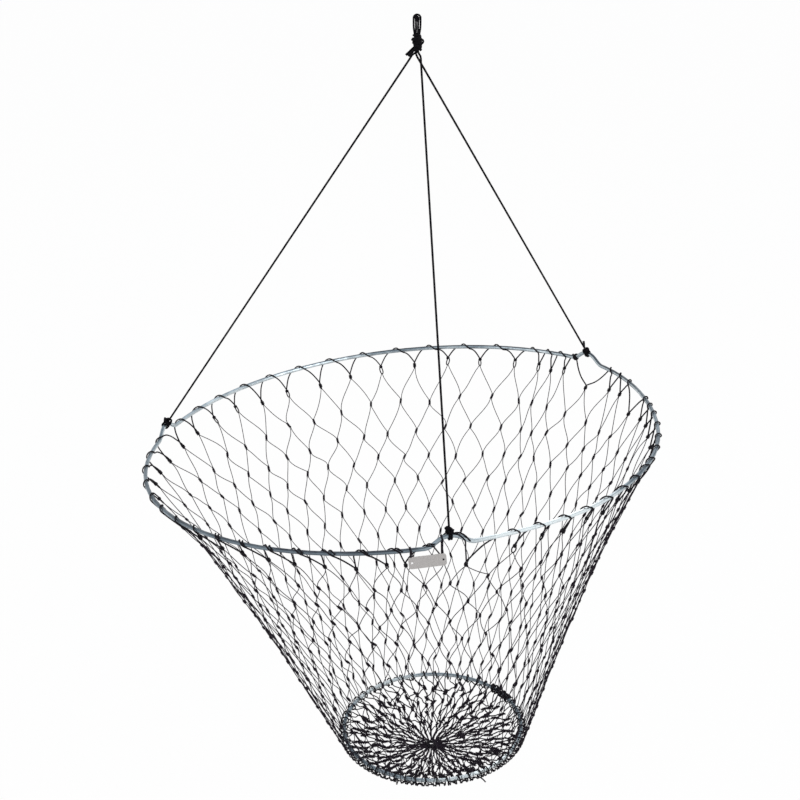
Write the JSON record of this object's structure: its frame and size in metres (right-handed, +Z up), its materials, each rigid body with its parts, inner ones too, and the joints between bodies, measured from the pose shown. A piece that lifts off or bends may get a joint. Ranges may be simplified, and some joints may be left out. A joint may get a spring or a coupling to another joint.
{
  "type": "bridge net",
  "caption": "Drop net for fishing from a bridge or pier: steel hoops joined by a bag of knotted netting, hung from a cord bridle with a blank name plate.",
  "frame": {"origin": "bearing point inside the top of the hanging eye, where the haul line holds the net up", "axes": "+Z up along the haul line, +X to the right seen from the front, +Y away from the front bridle leg; the net hangs below the origin"},
  "size_m": [0.7981, 0.819, 1.2623],
  "materials": {
    "galvanised_steel": "satin galvanised rod",
    "black_braided_cord": "matte braid",
    "net_twine": "matte tarred twine",
    "lacing_twine": "matte tarred twine",
    "plate_metal": "satin"
  },
  "bodies": {
    "hanger": {"bight_front": "black_braided_cord", "bight_right": "black_braided_cord", "bight_left": "black_braided_cord", "apex_knot": "black_braided_cord", "apex_tail_front": "black_braided_cord", "apex_tail_right": "black_braided_cord", "apex_tail_left": "black_braided_cord", "bridle_leg_front": "black_braided_cord", "bridle_leg_right": "black_braided_cord", "bridle_leg_left": "black_braided_cord"},
    "hoop": {"upper_hoop": "galvanised_steel", "round_turn_front": "black_braided_cord", "round_turn_right": "black_braided_cord", "round_turn_left": "black_braided_cord", "half_hitch_front": "black_braided_cord", "half_hitch_right": "black_braided_cord", "half_hitch_left": "black_braided_cord", "upper_lacing": "lacing_twine", "upper_lacing_knot": "lacing_twine", "net_wall": "net_twine"},
    "base": {"lower_hoop": "galvanised_steel", "lower_lacing": "lacing_twine", "lower_lacing_knot": "lacing_twine", "net_bottom": "net_twine", "gather_knot": "lacing_twine"},
    "tag": {"name_plate": "plate_metal", "plate_tie_left": "net_twine", "plate_tie_right": "net_twine"}
  },
  "joints": [
    {"name": "bridle_slack", "type": "slide", "parent": "hanger", "child": "hoop", "axis": [0, 0, 1], "range_m": [0, 0.54], "deforming": ["bridle_leg_front", "bridle_leg_right", "bridle_leg_left"]},
    {"name": "net_collapse", "type": "slide", "parent": "hoop", "child": "base", "axis": [0, 0, 1], "range_m": [0, 0.54], "deforming": ["net_wall"]},
    {"name": "tag_swing", "type": "hinge", "parent": "hoop", "child": "tag", "pos_m": [0.01107, -0.40204, -0.61892], "axis": [-0.9289, -0.1006, -0.3564], "range_deg": [0, 120]}
  ]
}
